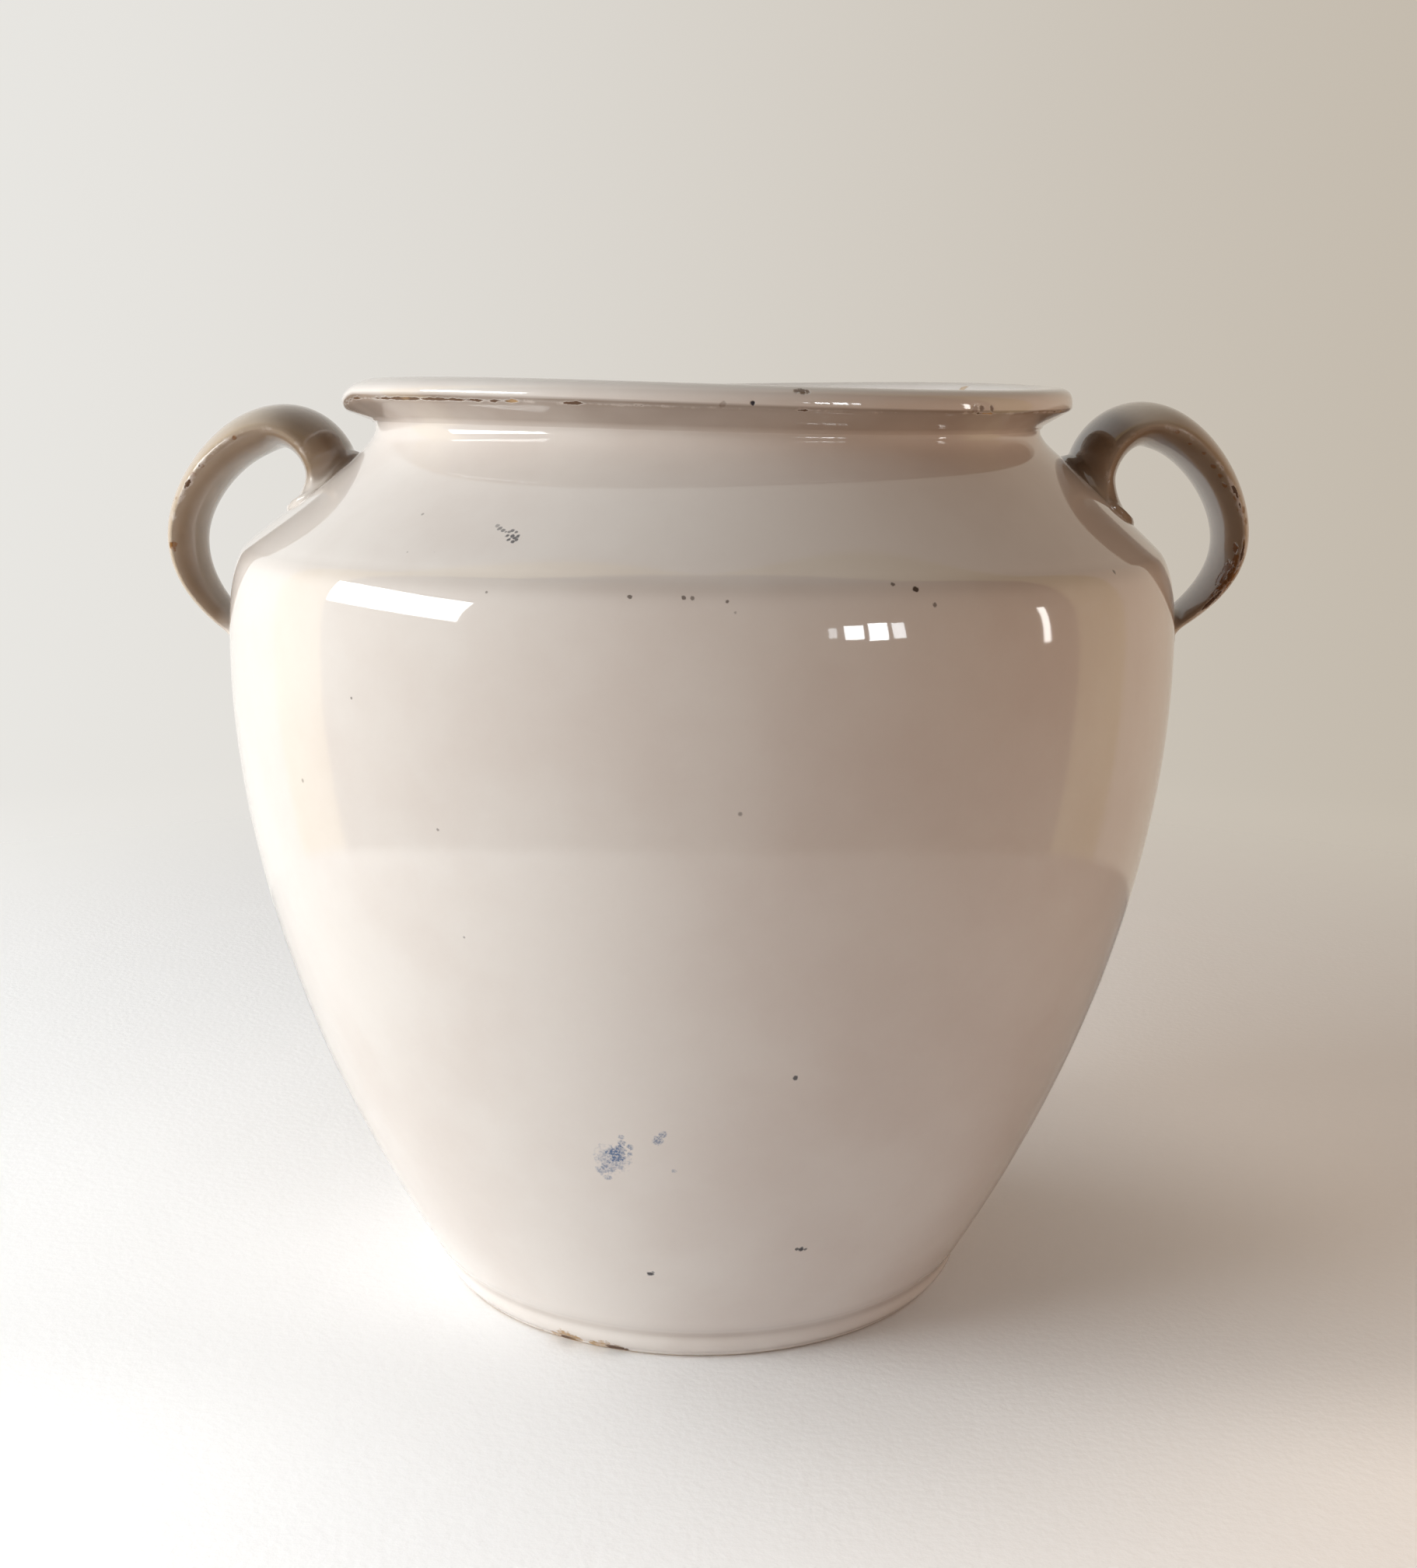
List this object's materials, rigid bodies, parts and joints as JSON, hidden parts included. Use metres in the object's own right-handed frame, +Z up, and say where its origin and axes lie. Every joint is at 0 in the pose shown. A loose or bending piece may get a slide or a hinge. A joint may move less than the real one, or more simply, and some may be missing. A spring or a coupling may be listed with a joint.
{
  "type": "cream pot",
  "caption": "Large storage pot of white tin-glazed earthenware with a turned foot, a sloping shoulder, a rolled lip and two strap handles.",
  "frame": {"origin": "centre of the ring that the pot stands on, under the middle of the mouth", "axes": "+Z up out of the mouth, the two handles lie on X, -Y is the side that the picture shows"},
  "size_m": [0.308, 0.268, 0.262],
  "materials": {
    "body_glaze": "glossy warm white tin glaze over earthenware, with pits, specks and worn edges",
    "handle_glaze": "the same glaze, thin and worn through to brown along the strap's edges",
    "luting_glaze": "the same glaze, pooled a little thicker in the hollow of the joints"
  },
  "bodies": {
    "root": {"body": "body_glaze", "handle_left": "handle_glaze", "handle_right": "handle_glaze", "luting_upper_left": "luting_glaze", "luting_lower_left": "luting_glaze", "luting_upper_right": "luting_glaze", "luting_lower_right": "luting_glaze"}
  },
  "joints": []
}
